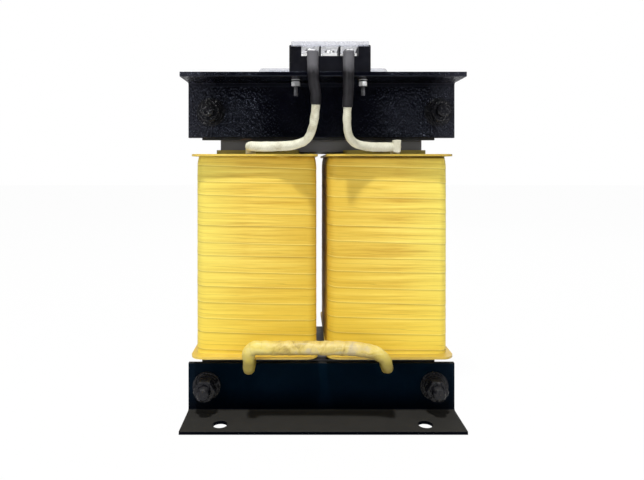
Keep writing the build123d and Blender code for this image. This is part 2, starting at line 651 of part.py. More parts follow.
def make_jumper():
    """A stiff taped bar that joins the feet of the two coils in front of the frame."""
    turns_bottom = WRAP_BOTTOM + WINDING_MARGIN
    left_foot = (JUMPER_LEFT_X, LEAD_ENTRY_Y, JUMPER_LEG_Z)
    right_foot = (JUMPER_RIGHT_X, LEAD_ENTRY_Y, JUMPER_LEG_Z)
    bends = [
        left_foot,
        (JUMPER_LEFT_X, JUMPER_Y, JUMPER_LEG_Z),
        (JUMPER_LEFT_X, JUMPER_Y, JUMPER_RUN_Z),
        (JUMPER_RIGHT_X - 27, JUMPER_Y, JUMPER_RUN_Z),
        (JUMPER_RIGHT_X - 3.5, JUMPER_Y, JUMPER_RUN_Z - 7),
        (JUMPER_RIGHT_X, JUMPER_Y, JUMPER_LEG_Z),
        right_foot,
    ]
    radii = [5.8, 6.4, 14.0, 50.0, 11.0, 6.4, 5.8]
    ends = [(*foot[:2], turns_bottom) for foot in (left_foot, right_foot)]
    core = tube_along([ends[0], *bends, ends[1]], radii, JUMPER_CORE_R)
    ends = [(*foot[:2], WRAP_BOTTOM) for foot in (left_foot, right_foot)]
    bore = JUMPER_CORE_R + LAYER_GAP
    tape = tube_along([ends[0], *bends, ends[1]], radii, JUMPER_LEG_R, bore)
    run = Line(along(bends[2], bends[3], 0.15), along(bends[2], bends[3], 0.92))
    thick = sweep(Plane(origin=run @ 0, z_dir=run % 0) * Circle(JUMPER_R), path=run)
    thick = chamfer(thick.faces().filter_by(GeomType.PLANE).edges(), JUMPER_R - JUMPER_LEG_R - 0.1)
    hollow = sweep(Plane(origin=run @ 0, z_dir=run % 0) * Circle(bore), path=run)
    save("jumper_conductor", core)
    save("jumper_tape", tape + (thick - hollow))


def main():
    os.makedirs("parts", exist_ok=True)
    make_core()
    make_coils()
    make_frame()
    make_clamp_bolts()
    make_terminal_blocks()
    make_leads()
    make_jumper()


main()
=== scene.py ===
import math

import bmesh
import bpy
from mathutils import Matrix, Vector, noise


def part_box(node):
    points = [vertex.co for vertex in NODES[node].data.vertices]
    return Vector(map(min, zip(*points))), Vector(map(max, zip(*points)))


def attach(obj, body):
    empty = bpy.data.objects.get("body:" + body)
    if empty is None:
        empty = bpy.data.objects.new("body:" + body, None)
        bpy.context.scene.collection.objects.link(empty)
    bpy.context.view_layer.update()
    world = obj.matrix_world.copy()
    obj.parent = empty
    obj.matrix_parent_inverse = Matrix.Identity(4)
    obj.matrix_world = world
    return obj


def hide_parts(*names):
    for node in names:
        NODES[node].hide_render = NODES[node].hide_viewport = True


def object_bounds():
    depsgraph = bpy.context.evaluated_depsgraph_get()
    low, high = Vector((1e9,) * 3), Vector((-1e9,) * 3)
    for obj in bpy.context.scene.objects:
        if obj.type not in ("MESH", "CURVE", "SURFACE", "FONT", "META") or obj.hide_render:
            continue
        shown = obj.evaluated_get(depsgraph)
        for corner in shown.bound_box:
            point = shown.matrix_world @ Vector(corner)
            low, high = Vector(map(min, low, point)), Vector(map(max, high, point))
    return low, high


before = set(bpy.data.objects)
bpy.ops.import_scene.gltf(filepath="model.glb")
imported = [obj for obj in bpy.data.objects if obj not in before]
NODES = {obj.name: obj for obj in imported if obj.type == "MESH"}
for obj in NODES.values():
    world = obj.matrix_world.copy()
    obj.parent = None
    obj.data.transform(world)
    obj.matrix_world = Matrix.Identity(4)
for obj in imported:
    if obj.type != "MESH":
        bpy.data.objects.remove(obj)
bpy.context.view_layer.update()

# The dry type transformer, dressed. Metres, +Z up, the front faces -Y.
# CAD pieces keep their shape and get a finish. The tape, the leads and the jumper
# are modelled again in finer detail and replace their solids.

MM = 0.001
HALF_WIDTH = 0.125  # from the object's middle plane to just inside its ends


# ---------------------------------------------------------------- material tools


class Finish:
    """A material and the few calls that its procedural nodes are built with."""

    def __init__(self, name, colour, rough, metal=0.0, **sockets):
        self.material = bpy.data.materials.new(name)
        self.material.use_nodes = True
        self.tree = self.material.node_tree
        self.shader = self.tree.nodes["Principled BSDF"]
        self.set("Base Color", (*colour, 1.0))
        self.set("Roughness", rough)
        self.set("Metallic", metal)
        for socket, value in sockets.items():
            self.set(socket.replace("_", " "), value)
        self.place = self.node("ShaderNodeTexCoord").outputs["Object"]
        self.normal = None

    def node(self, kind, **settings):
        made = self.tree.nodes.new(kind)
        for name, value in settings.items():
            setattr(made, name, value)
        return made

    def link(self, output, socket):
        self.tree.links.new(output, socket)

    def set(self, socket, value):
        self.shader.inputs[socket].default_value = value

    def stretched(self, x, y, z):
        """Object coordinates, scaled along each axis."""
        mapping = self.node("ShaderNodeMapping")
        mapping.inputs["Scale"].default_value = (x, y, z)
        self.link(self.place, mapping.inputs["Vector"])
        return mapping.outputs["Vector"]

    def noise(self, scale, detail=4.0, vector=None, rough=0.55, distort=0.0):
        made = self.node("ShaderNodeTexNoise")
        made.inputs["Scale"].default_value = scale
        made.inputs["Detail"].default_value = detail
        made.inputs["Roughness"].default_value = rough
        made.inputs["Distortion"].default_value = distort
        self.link(vector or self.place, made.inputs["Vector"])
        return made.outputs["Fac"]

    def cells(self, scale, vector=None):
        made = self.node("ShaderNodeTexVoronoi")
        made.inputs["Scale"].default_value = scale
        self.link(vector or self.place, made.inputs["Vector"])
        return made.outputs["Distance"]

    def wave(self, scale, axis, distort):
        made = self.node("ShaderNodeTexWave", bands_direction=axis)
        made.inputs["Scale"].default_value = scale
        made.inputs["Distortion"].default_value = distort
        self.link(self.place, made.inputs["Vector"])
        return made.outputs["Fac"]

    def facing(self, axis):
        """How far the surface looks along an axis of the scene."""
        parts = self.node("ShaderNodeSeparateXYZ")
        self.link(self.node("ShaderNodeNewGeometry").outputs["True Normal"], parts.inputs[0])
        return parts.outputs[axis]

    def coordinate(self, axis):
        """The object coordinate along one axis, in metres."""
        parts = self.node("ShaderNodeSeparateXYZ")
        self.link(self.place, parts.inputs[0])
        return parts.outputs[axis]

    def share(self, axis, span, start=0.0):
        """How far along an axis the point lies from `start`, in parts of `span` metres."""
        place = self.coordinate(axis)
        if start:
            place = self.maths("SUBTRACT", place, start)
        return self.times(place, 1 / span)

    def outward(self):
        """From 0 on the object's middle plane to about 1 at its left and right ends."""
        return self.times(self.maths("ABSOLUTE", self.coordinate("X")), 1 / HALF_WIDTH)

    def attribute(self, name):
        return self.node("ShaderNodeAttribute", attribute_name=name).outputs["Fac"]

    def ramp(self, value, *stops):
        """A ramp of (position, colour) or (position, number) stops."""
        made = self.node("ShaderNodeValToRGB")
        band = made.color_ramp
        while len(band.elements) < len(stops):
            band.elements.new(0.5)
        for element, (position, colour) in zip(band.elements, stops):
            element.position = position
            grey = isinstance(colour, (int, float))
            element.color = (colour, colour, colour, 1.0) if grey else (*colour, 1.0)
        self.link(value, made.inputs["Fac"])
        return made.outputs["Color"]

    def mix(self, factor, first, second):
        """Two colours, each a socket or three numbers, mixed by a socket."""
        made = self.node("ShaderNodeMix", data_type="RGBA")
        for socket, value in (("Factor", factor), ("A", first), ("B", second)):
            inputs = [s for s in made.inputs if s.name == socket and s.enabled]
            target = inputs[0] if socket == "Factor" else inputs[-1]
            if isinstance(value, bpy.types.NodeSocket):
                self.link(value, target)
            else:
                target.default_value = (*value, 1.0)
        return [s for s in made.outputs if s.enabled][-1]

    def times(self, value, factor):
        return self.maths("MULTIPLY", value, factor)

    def maths(self, operation, first, second=0.0):
        made = self.node("ShaderNodeMath", operation=operation)
        for i, value in enumerate((first, second)):
            if isinstance(value, bpy.types.NodeSocket):
                self.link(value, made.inputs[i])
            else:
                made.inputs[i].default_value = value
        return made.outputs["Value"]

    def colour(self, output):
        self.link(output, self.shader.inputs["Base Color"])

    def roughness(self, output):
        self.link(output, self.shader.inputs["Roughness"])

    def rounded(self, radius_mm):
        """Shades the hard edges as if they were rounded. Comes before any bump."""
        made = self.node("ShaderNodeBevel", samples=6)
        made.inputs["Radius"].default_value = radius_mm * MM
        self.normal = made.outputs["Normal"]

    def bump(self, height, strength, depth_mm):
        """Adds one more layer of bump on top of those already there."""
        made = self.node("ShaderNodeBump")
        made.inputs["Strength"].default_value = strength
        made.inputs["Distance"].default_value = depth_mm * MM
        self.link(height, made.inputs["Height"])
        if self.normal:
            self.link(self.normal, made.inputs["Normal"])
        self.normal = made.outputs["Normal"]
        self.link(self.normal, self.shader.inputs["Normal"])


# ---------------------------------------------------------------- finishes

WHITE = (1.0, 1.0, 1.0, 1.0)
INNER_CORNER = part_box("upper_front_angle")[1].z - 8.6 * MM  # just below that of the top bars
STACK_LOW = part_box("upper_front_angle")[1].z - 16.4 * MM  # the foot of the terminal bolts
STACK_HEIGHT = 20 * MM


def shaded(colour, factor, lift=0.0):
    """A colour with each channel multiplied and lifted."""
    return tuple(factor * channel + lift for channel in colour)


def black_paint(name, colour, *, peel, shine, gloss, dust_and_reflection, tint=WHITE, ground=None):
    """Thick paint: orange peel, dusty lumps, a dull dusty film on faces that look up that is
    partly a painted reflection, and a painted sheen at the ends.

    `peel` is the strength of the bumps, `shine` the roughness, `gloss` the specular
    level, `dust_and_reflection` the colour of the film, and `ground` a colour for the lowest
    part."""
    f = Finish(name, colour, shine, Specular_IOR_Level=gloss, Specular_Tint=tint)
    f.rounded(0.8)
    body = f.ramp(f.noise(28.0, 3.0), (0.3, colour), (0.75, shaded(colour, 1.6, 0.001)))
    if ground:
        low = f.ramp(f.share("Z", 50 * MM), (0.06, 1.0), (0.5, 0.0))
        body = f.mix(low, body, ground)
    outward = f.outward()
    # Painted sheen: the paint is made lighter towards the left and right ends, where the web
    # catches light.
    painted_sheen_at_ends = f.ramp(outward, (0.84, 0.0), (1.0, 0.6 * peel))
    body = f.mix(painted_sheen_at_ends, body, (0.03, 0.03, 0.04))
    # The film on faces that look up is dusty, and is also a painted reflection of the backdrop.
    upward = f.ramp(f.facing("Z"), (0.55, 0.0), (0.8, 1.0))
    film = f.ramp(f.noise(70.0, 5.0), (0.25, shaded(dust_and_reflection, 0.88)), (0.75, dust_and_reflection))
    f.colour(f.mix(upward, body, film))

    rough = f.ramp(f.noise(60.0, 5.0), (0.3, shine * 0.8), (0.7, min(1.0, shine * 1.9)))
    rough = f.mix(upward, rough, (0.75, 0.75, 0.75))
    level = f.share("Z", 10 * MM, INNER_CORNER)
    corner = f.ramp(level, (0.0, 0.0), (0.08, 1.0), (0.34, 1.0), (0.39, 0.0))
    f.roughness(f.mix(corner, rough, (0.95, 0.95, 0.95)))

    ends = f.ramp(outward, (0.3, 0.12), (0.6, 0.55), (1.0, 1.0))
    grain = f.ramp(f.cells(560.0, f.stretched(1.0, 1.0, 0.6)), (0.0, 1.0), (0.7, 0.0))
    f.bump(f.maths("MULTIPLY", grain, ends), peel, 0.85)
    f.bump(f.noise(95.0, 2.0), 0.35 * peel, 0.9)
    specks = f.ramp(f.cells(260.0), (0.06, 1.0), (0.24, 0.0))
    f.bump(f.maths("MULTIPLY", specks, ends), 0.8 * peel, 0.5)
    return f


def bolt_paint():
    """The frame's paint over threads, which still show through it at the front."""
    f = black_paint(
        "bolt_paint",
        (0.003, 0.0032, 0.0045),
        peel=0.5,
        shine=0.1,
        gloss=0.25,
        dust_and_reflection=(0.02, 0.02, 0.022),
    )
    thread = f.wave(180.0, "Y", 0.35)
    front = f.ramp(f.share("Y", -100 * MM), (0.74, 0.0), (0.76, 1.0))
    f.bump(f.maths("MULTIPLY", thread, front), 0.5, 0.35)
    return f.material


def lamination_steel():
    """Dark lacquered sheet steel. The cut edges of the sheets show as fine lines."""
    f = Finish("lamination_steel", (0.062, 0.062, 0.07), 0.45, 0.35, Specular_IOR_Level=0.45)
    sheets = f.wave(320.0, "Y", 0.25)
    cloud = f.noise(35.0, 5.0)
    body = f.ramp(cloud, (0.25, (0.2, 0.203, 0.215)), (0.75, (0.33, 0.335, 0.355)))
    tone = f.noise(8.0, 3.0, f.stretched(0.3, 70.0, 0.3), rough=0.7)
    body = f.mix(f.ramp(tone, (0.35, 0.0), (0.65, 0.5)), body, (0.13, 0.13, 0.14))
    packs = f.wave(66.0, "Y", 0.1)
    body = f.mix(f.ramp(packs, (0.93, 0.0), (1.0, 0.6)), body, (0.05, 0.05, 0.055))
    f.colour(f.mix(f.ramp(sheets, (0.35, 0.0), (0.9, 0.4)), body, (0.035, 0.034, 0.037)))
    f.roughness(f.ramp(f.noise(140.0, 4.0), (0.3, 0.38), (0.7, 0.6)))
    f.bump(sheets, 0.5, 0.12)
    f.bump(f.noise(500.0, 3.0), 0.15, 0.2)
    return f.material


def packing_board():
    """Dark pressed board with a layered edge and dabs of black paint."""
    f = Finish("packing_board", (0.1, 0.055, 0.03), 0.6)
    layers = f.noise(45.0, 6.0, f.stretched(1.0, 9.0, 3.0))
    brown = f.ramp(
        layers,
        (0.25, (0.05, 0.025, 0.012)),
        (0.6, (0.17, 0.085, 0.04)),
        (0.85, (0.24, 0.13, 0.06)),
    )
    paint = f.ramp(f.noise(18.0, 3.0), (0.34, 0.0), (0.4, 1.0))
    f.colour(f.mix(paint, brown, (0.008, 0.008, 0.009)))
    f.roughness(f.ramp(paint, (0.0, 0.7), (1.0, 0.35)))
    f.bump(layers, 0.4, 0.3)
    return f.material


def glass_board(name, pale, deep, rightward_deepening=0.0):
    """Varnished glass-cloth board with a fine weave, deeper in colour towards the right."""
    f = Finish(name, pale, 0.4, Coat_Weight=0.25, Coat_Roughness=0.2, Specular_IOR_Level=0.5)
    patches = f.noise(30.0, 5.0)
    body = f.ramp(patches, (0.3, deep), (0.7, pale))
    rightward = f.maths("ADD", f.share("X", HALF_WIDTH), patches)
    # The colour deepens towards the right.
    body = f.mix(f.ramp(rightward, (0.75, 0.0), (1.4, rightward_deepening)), body, shaded(deep, 0.6))
    weave = f.maths("MULTIPLY", f.wave(300.0, "X", 0.6), f.wave(300.0, "Y", 0.6))
    f.colour(f.mix(f.ramp(weave, (0.0, 0.0), (1.0, 0.18)), body, shaded(deep, 0.6)))
    f.roughness(f.ramp(f.noise(80.0), (0.3, 0.3), (0.7, 0.55)))
    f.bump(weave, 0.2, 0.1)
    return f.material


def varnished_tape():
    """Yellow varnished tape: fine streaks along it, a painted highlight on the raised edge of
    each turn and a painted shadow line under that edge.

    Painted shade deepens the colour where the coils face each other, a painted highlight makes
    their outer ends lighter and more lemon, and the colour is a richer gold near their feet."""
    f = Finish("varnished_tape", (0.79, 0.55, 0.085), 0.42, Specular_IOR_Level=0.22)
    streaks = f.noise(26.0, 8.0, f.stretched(0.3, 0.3, 10.0), rough=0.68)
    body = f.ramp(
        streaks,
        (0.32, (0.56, 0.33, 0.04)),
        (0.5, (0.77, 0.545, 0.085)),
        (0.66, (0.88, 0.69, 0.14)),
    )
    outward = f.outward()
    wander = f.noise(13.0, 4.0, f.stretched(1.0, 1.0, 2.2))
    # Painted shade: a deeper amber towards the gap where the coils face each other.
    painted_shade_inward = f.maths("ADD", outward, f.times(wander, 0.5))
    body = f.mix(f.ramp(painted_shade_inward, (0.3, 0.75), (0.8, 0.0)), body, (0.66, 0.415, 0.04))
    # Painted highlight: lighter, more lemon colour towards the coils' outer ends.
    body = f.mix(f.ramp(outward, (0.6, 0.0), (0.98, 0.65)), body, (0.88, 0.77, 0.15))
    feet = f.ramp(f.share("Z", 250 * MM), (0.3, 0.6), (0.65, 0.0))
    body = f.mix(feet, body, (0.86, 0.61, 0.05))

    lap = f.attribute("lap")
    # Painted shadow: a dark line just under the raised edge of the turn above.
    painted_shadow_under_lip = f.ramp(lap, (0.0, 0.0), (0.86, 0.0), (0.96, 0.25), (1.0, 0.75))
    body = f.mix(painted_shadow_under_lip, body, (0.26, 0.13, 0.012))
    drift = f.times(f.noise(9.0, 3.0, f.stretched(1.0, 1.0, 14.0)), 0.5)
    buried_edges = f.ramp(
        f.maths("ADD", lap, drift),
        (0.48, 0.0),
        (0.52, 0.4),
        (0.54, 0.0),
        (0.74, 0.0),
        (0.77, 0.3),
        (0.8, 0.0),
        (1.0, 0.0),
    )
    body = f.mix(buried_edges, body, (0.42, 0.26, 0.03))
    # Painted highlight: a bright line along the raised lower edge of each turn.
    painted_highlight_lip = f.ramp(lap, (0.0, 0.5), (0.03, 0.35), (0.06, 0.0))
    body = f.mix(painted_highlight_lip, body, (0.95, 0.82, 0.24))

    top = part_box("right_coil_wrap")[1].z
    under_board = f.ramp(f.share("Z", -10 * MM, top), (0.1, 0.9), (0.3, 0.0))
    on_right = f.ramp(f.coordinate("X"), (0.0, 0.2), (0.02, 1.0))
    # Painted shade: a dark line under the board along the top of the right coil.
    painted_shade_under_board = f.maths("MULTIPLY", under_board, on_right)
    f.colour(f.mix(painted_shade_under_board, body, (0.05, 0.025, 0.008)))
    f.roughness(f.ramp(f.noise(90.0, 4.0), (0.3, 0.36), (0.75, 0.62)))
    cloth = f.maths("ADD", f.wave(330.0, "Z", 0.5), f.wave(330.0, "X", 0.5))
    f.bump(cloth, 0.1, 0.08)
    f.bump(streaks, 0.7, 0.6)
    return f.material


def woven_sleeve():
    """Cream glass-fibre sleeve, soiled a little along its length and darker towards the right.
    """
    f = Finish("woven_sleeve", (0.8, 0.76, 0.62), 0.7, Specular_IOR_Level=0.2)
    body = f.ramp(
        f.noise(70.0, 6.0, rough=0.65),
        (0.3, (0.5, 0.47, 0.33)),
        (0.46, (0.74, 0.73, 0.58)),
        (0.75, (0.88, 0.87, 0.74)),
    )
    # Darker towards the right.
    rightward_darkening = f.ramp(f.share("X", HALF_WIDTH), (0.1, 0.0), (0.35, 0.45))
    body = f.mix(rightward_darkening, body, (0.5, 0.47, 0.36))
    braid = f.attribute("braid")
    f.colour(f.mix(f.ramp(braid, (0.2, 0.35), (0.7, 0.0)), body, (0.45, 0.41, 0.31)))
    f.bump(braid, 0.5, 0.3)
    f.bump(f.noise(150.0, 5.0, f.stretched(1.0, 1.0, 1.6), distort=1.2), 0.7, 0.8)
    return f.material


def jumper_cloth():
    """Cream tape over yellow, soiled in patches, olive with varnish at its feet, and painted
    shade on its underside.
    """
    f = Finish("jumper_cloth", (0.66, 0.54, 0.24), 0.5, Coat_Weight=0.12, Coat_Roughness=0.3)
    body = f.ramp(
        f.noise(62.0, 6.0, rough=0.65, distort=0.6),
        (0.36, (0.34, 0.24, 0.06)),
        (0.45, (0.54, 0.4, 0.09)),
        (0.54, (0.66, 0.52, 0.16)),
        (0.64, (0.54, 0.44, 0.24)),
    )
    streaks = f.noise(60.0, 5.0, f.stretched(0.35, 2.0, 2.0), rough=0.6)
    body = f.mix(f.ramp(streaks, (0.5, 0.0), (0.62, 0.6)), body, (0.78, 0.72, 0.48))
    elbows = f.ramp(f.maths("ABSOLUTE", f.coordinate("X")), (0.04, 0.0), (0.056, 0.65))
    body = f.mix(elbows, body, (0.7, 0.56, 0.08))
    feet = f.ramp(f.share("Z", 100 * MM), (0.62, 0.85), (0.74, 0.0))
    body = f.mix(feet, body, (0.2, 0.155, 0.015))
    # Painted shade: darker brown on the underside.
    below = f.ramp(f.times(f.facing("Z"), -1.0), (0.15, 0.0), (0.85, 0.7))
    body = f.mix(below, body, (0.2, 0.13, 0.03))
    lap = f.ramp(f.attribute("lap"), (0.9, 0.0), (1.0, 0.35))
    f.colour(f.mix(lap, body, (0.26, 0.18, 0.05)))
    f.roughness(f.ramp(f.noise(120.0), (0.3, 0.4), (0.7, 0.65)))
    f.bump(f.noise(240.0, 4.0), 0.3, 0.3)
    f.bump(f.noise(110.0, 5.0, distort=1.5), 0.7, 1.2)
    f.bump(streaks, 0.5, 0.5)
    return f.material


def shrink_tube():
    """Black heat-shrink, lighter with a painted sheen towards its top, where it was drawn down
    over the lug.
    """
    f = Finish("shrink_tube", (0.012, 0.011, 0.013), 0.42, Specular_IOR_Level=0.22)
    cloud = f.noise(90.0, 4.0)
    body = f.ramp(cloud, (0.3, (0.008, 0.0075, 0.009)), (0.75, (0.02, 0.019, 0.022)))
    up = f.maths("ADD", f.share("Z", 100 * MM, 300 * MM), f.times(cloud, 0.1))
    # Painted sheen: lighter grey towards the top.
    painted_sheen_top = f.ramp(up, (0.36, 0.0), (0.46, 0.85))
    f.colour(f.mix(painted_sheen_top, body, (0.14, 0.138, 0.15)))
    f.roughness(f.ramp(f.noise(160.0, 4.0), (0.3, 0.34), (0.7, 0.55)))
    f.bump(f.noise(130.0, 4.0, f.stretched(1.0, 1.0, 0.4)), 0.4, 0.4)
    return f.material


def moulded_plastic():
    """Near-black plastic with a fine moulded grain."""
    f = Finish("moulded_plastic", (0.004, 0.004, 0.007), 0.38, Specular_IOR_Level=0.16)
    f.rounded(0.5)
    cloud = f.noise(60.0, 3.0)
    f.colour(f.ramp(cloud, (0.3, (0.002, 0.002, 0.004)), (0.75, (0.0045, 0.0048, 0.009))))
    f.roughness(f.ramp(f.noise(200.0, 4.0), (0.3, 0.3), (0.7, 0.48)))
    f.bump(f.noise(700.0, 3.0), 0.18, 0.15)
    return f.material


def scratch(f, smooth, dull):
    """Fine scratches with a roughness between two values."""
    scratches = f.noise(120.0, 5.0, f.stretched(14.0, 1.0, 14.0))
    f.roughness(f.ramp(scratches, (0.3, smooth), (0.7, dull)))
    f.bump(scratches, 0.12, 0.1)


def plated_bar():
    """Bright plated metal with fine scratches and a faint tarnish."""
    clean, tarnished = (1.0, 1.0, 0.99), (0.9, 0.9, 0.88)
    f = Finish("plated_bar", clean, 0.3, 0.1)
    f.colour(f.ramp(f.noise(150.0, 4.0), (0.3, tarnished), (0.7, clean)))
    scratch(f, 0.21, 0.51)
    return f.material


def zinc_plating():
    """Bright zinc. Shadow sits in the joints of the stack under the frame's top."""
    f = Finish("zinc_plating", (0.88, 0.89, 0.92), 0.16, 0.35)
    f.rounded(0.4)
    dark, mid, light = (0.02, 0.02, 0.024), (0.13, 0.13, 0.14), (0.95, 0.95, 0.96)
    stack = f.ramp(
        f.share("Z", STACK_HEIGHT, STACK_LOW),
        (0.0, mid),
        (0.23, dark),
        (0.26, light),
        (0.43, light),
        (0.47, dark),
        (0.52, dark),
        (0.535, light),
        (0.55, dark),
        (0.6, dark),
        (0.62, light),
    )
    tarnish = f.ramp(f.noise(260.0, 4.0), (0.35, 0.45), (0.6, 0.0))
    f.colour(f.mix(tarnish, stack, (0.2, 0.2, 0.22)))
    scratch(f, 0.1, 0.28)
    return f.material


def clear_plastic():
    """Clear moulded plastic: a faint violet haze that is denser in patches."""
    f = Finish("clear_plastic", (0.8, 0.8, 0.9), 0.12, Specular_IOR_Level=0.5)
    haze = f.noise(90.0, 4.0)
    f.colour(f.ramp(haze, (0.3, (0.56, 0.57, 0.68)), (0.7, (0.7, 0.72, 0.8))))
    f.link(f.ramp(haze, (0.3, 0.24), (0.7, 0.46)), f.shader.inputs["Alpha"])
    f.roughness(f.ramp(f.noise(120.0, 4.0), (0.3, 0.08), (0.75, 0.3)))
    f.bump(f.noise(300.0, 2.0), 0.1, 0.1)
    return f.material


def copper_wire():
    """Layers of enamelled wire, with dark lines between the turns."""
    f = Finish("enamelled_copper", (0.7, 0.32, 0.12), 0.3, 0.9)
    turns = f.wave(220.0, "Z", 0.1)
    f.colour(f.ramp(turns, (0.1, (0.25, 0.09, 0.03)), (0.6, (0.74, 0.35, 0.14))))
    f.bump(turns, 0.6, 0.3)
    return f.material


def brown_tube():
    """Brown resin-bonded paper tube."""
    f = Finish("bakelised_tube", (0.08, 0.045, 0.025), 0.4, Coat_Weight=0.2)
    f.colour(f.ramp(f.noise(50.0, 5.0), (0.3, (0.05, 0.028, 0.015)), (0.7, (0.13, 0.075, 0.04))))
    f.bump(f.noise(300.0, 3.0), 0.2, 0.2)
    return f.material


# By the start or the end of the node's name.
FINISHES = {
    "core_": lamination_steel(),
    "_strip": packing_board(),
    "_former": glass_board("former_laminate", (0.4, 0.32, 0.06), (0.27, 0.21, 0.035)),
    "_board": glass_board("end_laminate", (0.76, 0.56, 0.1), (0.63, 0.42, 0.05), rightward_deepening=0.6),
    "_winding": copper_wire(),
    "_barrier": glass_board("barrier_board", (0.8, 0.74, 0.52), (0.68, 0.6, 0.4)),
    "_terminal_base": moulded_plastic(),
    "_terminal_bars": plated_bar(),
    "_terminal_cover": clear_plastic(),
    "clamp_sleeves": brown_tube(),
    "_conductor": copper_wire(),
}
UPPER_PAINT = black_paint(
    "upper_frame_paint",
    (0.0006, 0.0007, 0.0024),
    peel=1.0,
    shine=0.13,
    gloss=0.26,
    dust_and_reflection=(0.009, 0.009, 0.01),
    tint=(0.7, 0.78, 1.0, 1.0),
).material
LOWER_PAINT = black_paint(
    "lower_frame_paint",
    (0.0004, 0.0036, 0.0085),
    peel=0.12,
    shine=0.34,
    gloss=0.02,
    dust_and_reflection=(0.032, 0.0305, 0.0275),
    tint=(0.2, 0.6, 1.0, 1.0),
    ground=(0.0004, 0.0006, 0.0018),
).material
BOLT_PAINT = bolt_paint()
ZINC = zinc_plating()
TAPE = varnished_tape()
SLEEVE = woven_sleeve()
JUMPER = jumper_cloth()
SHRINK = shrink_tube()


def finish_of(node):
    """The finish of a CAD node, by its name."""
    if node.endswith("_angle"):
        return UPPER_PAINT if node.startswith("upper") else LOWER_PAINT
    for key, material in FINISHES.items():
        if node.startswith(key) or node.endswith(key):
            return material
    return BOLT_PAINT if node.startswith("clamp_") else ZINC


def give(piece, material):
    piece.data.materials.clear()
    piece.data.materials.append(material)


def dress_cad():
    """Every solid gets its finish, also those that finer pieces replace."""
    for name, piece in NODES.items():
        give(piece, finish_of(name))


# ---------------------------------------------------------------- mesh tools


def place_in_scene(name, data):
    """A new object of the scene with this data."""
    made = bpy.data.objects.new(name, data)
    bpy.context.scene.collection.objects.link(made)
    return made


def make_piece(name, points, faces, material, replaced=(), layer=None):
    """A smooth mesh piece on the root body. A layer is a name and a number per point."""
    mesh = bpy.data.meshes.new(name)
    mesh.from_pydata(points, [], faces)
    mesh.update()
    if layer:
        layer_name, values = layer
        attribute = mesh.attributes.new(layer_name, "FLOAT", "POINT")
        attribute.data.foreach_set("value", values)
    for polygon in mesh.polygons:
        polygon.use_smooth = True
    piece = place_in_scene(name, mesh)
    give(piece, material)
    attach(piece, "root")
    if replaced:
        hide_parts(*replaced)


def ring_faces(rows, columns):
    """Quads between rows of points, each row a closed ring."""
    faces = []
    for row in range(rows - 1):
        for column in range(columns):
            following = (column + 1) % columns
            a, b = row * columns + column, row * columns + following
            faces.append((a, b, b + columns, a + columns))
    return faces


# ---------------------------------------------------------------- taped coils

TURNS = 13
TAPE_LAP = 0.17 * MM  # how far the edge of a turn stands out
# Over the width of the tape: the share of the visible course, and the share of TAPE_LAP.
# Above 1.0 the tape runs on, out of sight, under the turn above.
TAPE_PROFILE = (
    (-0.012, 0.1),
    (0.0, 0.9),
    (0.02, 1.0),
    (0.06, 0.9),
    (0.25, 0.6),
    (0.55, 0.35),
    (0.85, 0.15),
    (1.0, 0.02),
    (1.18, -0.25),
    (1.34, -0.6),
)
EDGE_WANDER = ((0.19, 0.9, 3.1), (0.04, 6.0, 9.7))  # size in courses, rate a turn, place
SLACK = 0.25 * MM  # slow swelling of the surface
RIPPLE = 0.06 * MM  # and the quick one on top of it
END_GAP = 0.1 * MM  # between the tape and the ends of the coil
CORNER_RADIUS = 10 * MM
CROWN_X, CROWN_Y = 0.8 * MM, 2.0 * MM  # how far the middles of the sides bow out
SHOULDER_DRAW = 1.5 * MM  # how far the top of a coil draws in
SHOULDER_HEIGHT = 11 * MM
CORNER_STEPS = 12  # points round each corner
SIDE_STEPS = 24  # and along each side
# Anticlockwise: the signs of each corner's place, and the side that follows it.
QUARTERS = (
    ((1, 1), Vector((-1, 0, 0))),
    ((-1, 1), Vector((0, -1, 0))),
    ((-1, -1), Vector((1, 0, 0))),
    ((1, -1), Vector((0, 1, 0))),
)


def coil_outline(half_x, half_y):
    """Points and outward normals round a crowned, round-cornered plan, anticlockwise."""
    ring = []
    corner_x, corner_y = half_x - CORNER_RADIUS, half_y - CORNER_RADIUS
    for quarter, ((sign_x, sign_y), along) in enumerate(QUARTERS):
        centre = Vector((sign_x * corner_x, sign_y * corner_y, 0))
        for step in range(CORNER_STEPS):
            angle = math.pi / 2 * (quarter + step / (CORNER_STEPS - 1))
            normal = Vector((math.cos(angle), math.sin(angle), 0))
            ring.append((centre + CORNER_RADIUS * normal, normal))
        length = 2 * (corner_x if along.x else corner_y)
        start, normal = ring[-1]
        for step in range(1, SIDE_STEPS):
            ring.append((start + along * length * step / SIDE_STEPS, normal))
    shaped = []
    for point, normal in ring:
        bow_x = CROWN_X * (1 - (point.y / half_y) ** 2) * abs(normal.x)
        bow_y = CROWN_Y * (1 - (point.x / half_x) ** 2) * abs(normal.y)
        shaped.append((point + normal * (bow_x + bow_y), normal))
    return shaped


